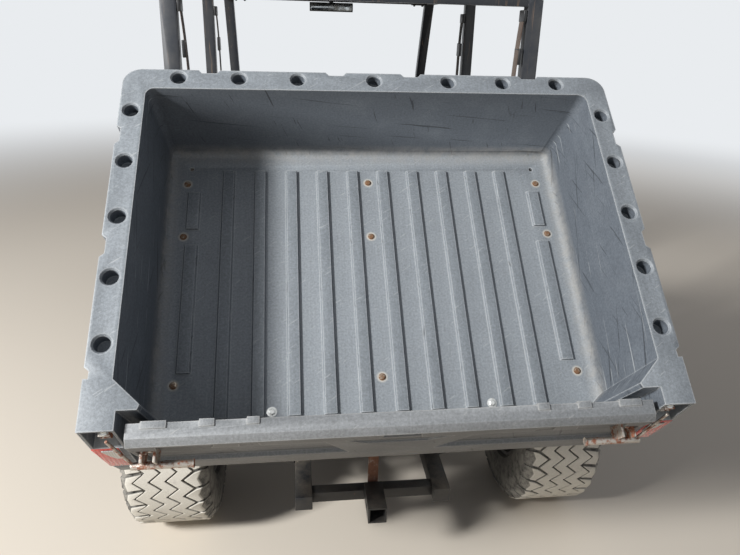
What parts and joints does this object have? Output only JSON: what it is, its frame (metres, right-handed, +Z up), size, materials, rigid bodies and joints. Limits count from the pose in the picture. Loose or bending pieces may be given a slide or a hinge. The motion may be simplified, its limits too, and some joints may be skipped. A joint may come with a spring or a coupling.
{
  "type": "crew cab side by side utility vehicle",
  "caption": "Open-sided utility vehicle with two bench rows, a roll cage with a roof, and a tipping cargo bed with a fold-down tailgate, shown with the bed raised.",
  "frame": {"origin": "on the ground, under the middle of the vehicle as it stands with its bed raised", "axes": "+X to the right side, +Y forward, +Z up"},
  "size_m": [1.74, 4.3084, 2.0493],
  "materials": {
    "frame_paint": "satin black paint",
    "bare_steel": "bare, rusted steel",
    "zinc_steel": "zinc plated steel",
    "engine_cast": "cast metal",
    "body_plastic": "moulded plastic body panel",
    "bed_plastic": "weathered moulded plastic",
    "black_plastic": "moulded black plastic",
    "seat_vinyl": "vinyl seat cover",
    "webbing": "woven seat belt webbing",
    "tyre_rubber": "dusty tyre rubber",
    "grip_rubber": "moulded rubber",
    "rim_paint": "dark painted steel wheel",
    "red_lens": "red lamp lens",
    "clear_lens": "clear lamp lens",
    "mirror_shell": "black mirror shell"
  },
  "bodies": {
    "chassis": {"frame_rails": "frame_paint", "frame_cross_members": "frame_paint", "bed_hinges": "frame_paint", "hitch_receiver": "frame_paint", "engine_and_gearboxes": "engine_cast", "muffler": "bare_steel", "suspension_arms": "frame_paint", "shock_absorbers": "frame_paint", "half_shafts": "zinc_steel", "knuckles_rear": "engine_cast", "cab_floor": "black_plastic", "seat_boxes": "black_plastic", "seat_cushions": "seat_vinyl", "seat_belts": "webbing", "cage_sides": "frame_paint", "cage_cross_bars": "frame_paint", "roof_panel": "black_plastic", "rear_view_mirror": "mirror_shell", "dashboard": "black_plastic", "steering_column": "zinc_steel", "hood": "body_plastic", "front_fenders": "body_plastic", "headlamps": "clear_lens", "grille": "black_plastic", "front_bumper": "frame_paint"},
    "steering_wheel": {"steering_wheel": "grip_rubber"},
    "tie_rods": {"tie_rods": "zinc_steel"},
    "knuckle_front_left": {"knuckle_front_left": "engine_cast"},
    "knuckle_front_right": {"knuckle_front_right": "engine_cast"},
    "wheel_front_left": {"tyre_front_left": "tyre_rubber", "rim_front_left": "rim_paint"},
    "wheel_front_right": {"tyre_front_right": "tyre_rubber", "rim_front_right": "rim_paint"},
    "wheel_rear_left": {"tyre_rear_left": "tyre_rubber", "rim_rear_left": "rim_paint"},
    "wheel_rear_right": {"tyre_rear_right": "tyre_rubber", "rim_rear_right": "rim_paint"},
    "bed": {"bed_box": "bed_plastic", "bed_rails": "frame_paint", "bed_cross_bars": "frame_paint", "bed_corner_brackets": "bare_steel", "tail_lamps": "red_lens"},
    "tailgate": {"tailgate": "bed_plastic", "tailgate_latches": "bare_steel"},
    "strut_barrel": {"strut_barrel": "frame_paint"},
    "strut_rod": {"strut_rod": "zinc_steel"}
  },
  "joints": [
    {"name": "steering_turn", "type": "hinge", "parent": "chassis", "child": "steering_wheel", "pos_m": [-0.37, 0.65, 1.05], "axis": [0, -0.848, 0.5299], "range_deg": [-270, 270]},
    {"name": "tie_rod_slide", "type": "slide", "parent": "chassis", "child": "tie_rods", "axis": [1, 0, 0], "range_m": [-0.04939, 0.04939]},
    {"name": "knuckle_left_steer", "type": "hinge", "parent": "chassis", "child": "knuckle_front_left", "pos_m": [-0.615, 1.69, 0.33], "axis": [0, 0, 1], "range_deg": [-28.01, 28.01]},
    {"name": "wheel_front_left_spin", "type": "hinge", "parent": "knuckle_front_left", "child": "wheel_front_left", "pos_m": [-0.72, 1.69, 0.33], "axis": [1, 0, 0], "continuous": true},
    {"name": "wheel_rear_left_spin", "type": "hinge", "parent": "chassis", "child": "wheel_rear_left", "pos_m": [-0.72, -1.31, 0.33], "axis": [1, 0, 0], "continuous": true},
    {"name": "knuckle_right_steer", "type": "hinge", "parent": "chassis", "child": "knuckle_front_right", "pos_m": [0.615, 1.69, 0.33], "axis": [0, 0, 1], "range_deg": [-28.01, 28.01]},
    {"name": "wheel_front_right_spin", "type": "hinge", "parent": "knuckle_front_right", "child": "wheel_front_right", "pos_m": [0.72, 1.69, 0.33], "axis": [1, 0, 0], "continuous": true},
    {"name": "wheel_rear_right_spin", "type": "hinge", "parent": "chassis", "child": "wheel_rear_right", "pos_m": [0.72, -1.31, 0.33], "axis": [1, 0, 0], "continuous": true},
    {"name": "bed_tilt", "type": "hinge", "parent": "chassis", "child": "bed", "pos_m": [0, -1.747, 0.752], "axis": [1, 0, 0], "range_deg": [-42.7, 0]},
    {"name": "tailgate_fold", "type": "hinge", "parent": "bed", "child": "tailgate", "pos_m": [0, -1.91839, 0.6959], "axis": [1, 0, 0], "range_deg": [0, 90]},
    {"name": "strut_swing", "type": "hinge", "parent": "chassis", "child": "strut_barrel", "pos_m": [0.18, -1.722, 0.632], "axis": [1, 0, 0], "range_deg": [-38.43, 0]},
    {"name": "strut_slide", "type": "slide", "parent": "strut_barrel", "child": "strut_rod", "axis": [0, 0.5806, 0.8142], "range_m": [-0.08198, 0]}
  ],
  "couplings": [
    {"joint": "knuckle_left_steer", "follows": "steering_turn", "ratio": 0.1037},
    {"joint": "knuckle_right_steer", "follows": "steering_turn", "ratio": 0.1037},
    {"joint": "tie_rod_slide", "follows": "steering_turn", "m_per_rad": 0.010461},
    {"joint": "strut_swing", "follows": "bed_tilt", "ratio": 0.89881},
    {"joint": "strut_slide", "follows": "bed_tilt", "m_per_rad": 0.10986}
  ]
}
